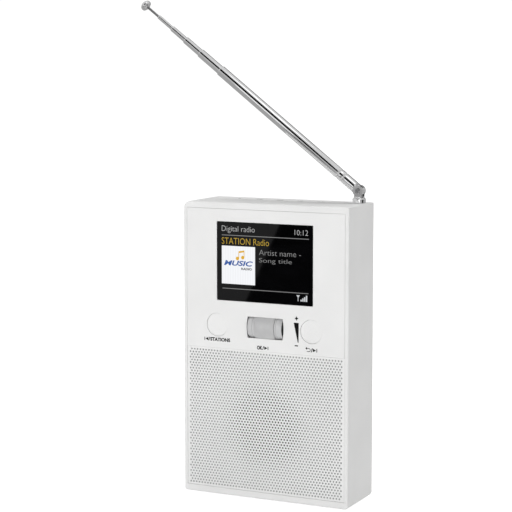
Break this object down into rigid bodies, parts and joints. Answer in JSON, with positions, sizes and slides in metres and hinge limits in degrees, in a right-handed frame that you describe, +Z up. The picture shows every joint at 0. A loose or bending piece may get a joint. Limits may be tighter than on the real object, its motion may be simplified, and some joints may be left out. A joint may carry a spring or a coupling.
{
  "type": "tabletop radio",
  "caption": "Compact upright tabletop radio in white plastic with a colour display, roller and push controls, perforated speaker front and a telescopic antenna on a tilting swivel.",
  "frame": {"origin": "middle of the rubber foot, on the surface that the radio stands on", "axes": "+X to the right seen by the listener, -Y out of the front towards the listener, +Z up"},
  "size_m": [0.1317, 0.0352, 0.2582],
  "materials": {
    "case_white": "fine satin moulded",
    "panel_white": "fine satin moulded",
    "grille_white": "fine satin paint",
    "button_white": "satin",
    "key_white": "satin",
    "foot_rubber": "matte",
    "screw_steel": "satin",
    "plain_steel": "satin",
    "window_glass": "gloss",
    "lcd_dark": "gloss",
    "lcd_white": "gloss",
    "frame_grey": "matte",
    "frame_white": "matte",
    "ribbon_amber": "gloss",
    "roller_satin": "satin metallic paint",
    "ring_silver": "satin metallic paint",
    "board_green": "solder mask",
    "switch_black": "matte",
    "can_steel": "satin",
    "chip_black": "matte",
    "capacitor_sleeve": "gloss",
    "socket_black": "matte",
    "socket_steel": "satin",
    "gasket_foam": "foam",
    "basket_steel": "black paint",
    "surround_rubber": "matte",
    "cone_paper": "pressed paper",
    "coil_copper": "enamelled",
    "spider_cloth": "impregnated cloth",
    "magnet_ferrite": "matte",
    "lead_red": "gloss insulation",
    "antenna_chrome": "polished"
  },
  "bodies": {
    "case": {"body_shell": "case_white", "front_panel": "panel_white", "speaker_grille": "grille_white", "rear_cover": "case_white", "base_foot": "foot_rubber", "rear_screws": "screw_steel", "display_window": "window_glass", "lcd_panel": "lcd_dark", "lcd_backlight": "lcd_white", "lcd_holder": "frame_grey", "lcd_ribbon": "ribbon_amber", "wheel_cradle": "frame_grey", "front_board": "board_green", "key_board": "board_green", "tact_switches": "switch_black", "main_board": "board_green", "tuner_can": "can_steel", "wireless_module": "can_steel", "main_chips": "chip_black", "capacitors": "capacitor_sleeve", "board_headers": "chip_black", "io_board": "board_green", "headphone_jack": "socket_black", "power_socket": "socket_steel", "speaker_gasket": "gasket_foam", "speaker_basket": "basket_steel", "speaker_surround": "surround_rubber", "speaker_cone": "cone_paper", "dust_cap": "cone_paper", "voice_coil": "coil_copper", "speaker_spider": "spider_cloth", "speaker_top_plate": "plain_steel", "speaker_magnet": "magnet_ferrite", "speaker_yoke": "plain_steel", "speaker_screws": "screw_steel", "speaker_leads": "lead_red", "antenna_bushing": "antenna_chrome"},
    "roller_carrier": {"wheel_carrier": "frame_white", "wheel_encoder": "switch_black"},
    "roller": {"wheel_roller": "roller_satin", "wheel_end_rings": "ring_silver", "wheel_axle": "plain_steel"},
    "left_push": {"left_button": "button_white"},
    "right_push": {"right_button": "button_white"},
    "power_push": {"power_key": "key_white"},
    "mode_push": {"mode_key": "key_white"},
    "menu_push": {"menu_key": "key_white"},
    "info_push": {"info_key": "key_white"},
    "alarm_push": {"alarm_key": "key_white"},
    "antenna_swivel": {"antenna_post": "antenna_chrome", "antenna_pin": "antenna_chrome", "antenna_screw": "screw_steel"},
    "antenna_arm": {"antenna_knuckle": "antenna_chrome", "antenna_tube_1": "antenna_chrome"},
    "antenna_section_2": {"antenna_tube_2": "antenna_chrome"},
    "antenna_section_3": {"antenna_tube_3": "antenna_chrome"},
    "antenna_section_4": {"antenna_tube_4": "antenna_chrome"},
    "antenna_section_5": {"antenna_tube_5": "antenna_chrome"},
    "antenna_tip": {"antenna_rod": "antenna_chrome", "antenna_cap": "antenna_chrome"}
  },
  "joints": [
    {"name": "antenna_turn", "type": "hinge", "parent": "case", "child": "antenna_swivel", "pos_m": [0.0415, 0.0085, 0.1538], "axis": [0, 0, 1], "continuous": true},
    {"name": "antenna_tilt", "type": "hinge", "parent": "antenna_swivel", "child": "antenna_arm", "pos_m": [0.0415, 0.0085, 0.1601], "axis": [0, 1, 0], "range_deg": [-37.5, 142.5]},
    {"name": "section_2_slide", "type": "slide", "parent": "antenna_arm", "child": "antenna_section_2", "axis": [-0.7934, 0, 0.6088], "range_m": [-0.014, 0.065]},
    {"name": "section_3_slide", "type": "slide", "parent": "antenna_section_2", "child": "antenna_section_3", "axis": [-0.7934, 0, 0.6088], "range_m": [-0.0103, 0.0687]},
    {"name": "section_4_slide", "type": "slide", "parent": "antenna_section_3", "child": "antenna_section_4", "axis": [-0.7934, 0, 0.6088], "range_m": [-0.0091, 0.0699]},
    {"name": "section_5_slide", "type": "slide", "parent": "antenna_section_4", "child": "antenna_section_5", "axis": [-0.7934, 0, 0.6088], "range_m": [-0.0093, 0.0697]},
    {"name": "tip_slide", "type": "slide", "parent": "antenna_section_5", "child": "antenna_tip", "axis": [-0.7934, 0, 0.6088], "range_m": [-0.0074, 0.0721]},
    {"name": "roller_press", "type": "slide", "parent": "case", "child": "roller_carrier", "axis": [0, 1, 0], "range_m": [0, 0.0008], "stiffness_N_per_m": 1500, "springref_m": -0.0004},
    {"name": "roller_turn", "type": "hinge", "parent": "roller_carrier", "child": "roller", "pos_m": [0.0004, -0.0113, 0.0901], "axis": [1, 0, 0], "continuous": true},
    {"name": "left_press", "type": "slide", "parent": "case", "child": "left_push", "axis": [0, 1, 0], "range_m": [0, 0.0005], "stiffness_N_per_m": 2000, "springref_m": -0.0003},
    {"name": "right_press", "type": "slide", "parent": "case", "child": "right_push", "axis": [0, 1, 0], "range_m": [0, 0.0005], "stiffness_N_per_m": 2000, "springref_m": -0.0003},
    {"name": "power_press", "type": "slide", "parent": "case", "child": "power_push", "axis": [0, 0, -1], "range_m": [0, 0.0005], "stiffness_N_per_m": 2000, "springref_m": -0.0003},
    {"name": "mode_press", "type": "slide", "parent": "case", "child": "mode_push", "axis": [0, 0, -1], "range_m": [0, 0.0005], "stiffness_N_per_m": 2000, "springref_m": -0.0003},
    {"name": "menu_press", "type": "slide", "parent": "case", "child": "menu_push", "axis": [0, 0, -1], "range_m": [0, 0.0005], "stiffness_N_per_m": 2000, "springref_m": -0.0003},
    {"name": "info_press", "type": "slide", "parent": "case", "child": "info_push", "axis": [0, 0, -1], "range_m": [0, 0.0005], "stiffness_N_per_m": 2000, "springref_m": -0.0003},
    {"name": "alarm_press", "type": "slide", "parent": "case", "child": "alarm_push", "axis": [0, 0, -1], "range_m": [0, 0.0005], "stiffness_N_per_m": 2000, "springref_m": -0.0003}
  ]
}
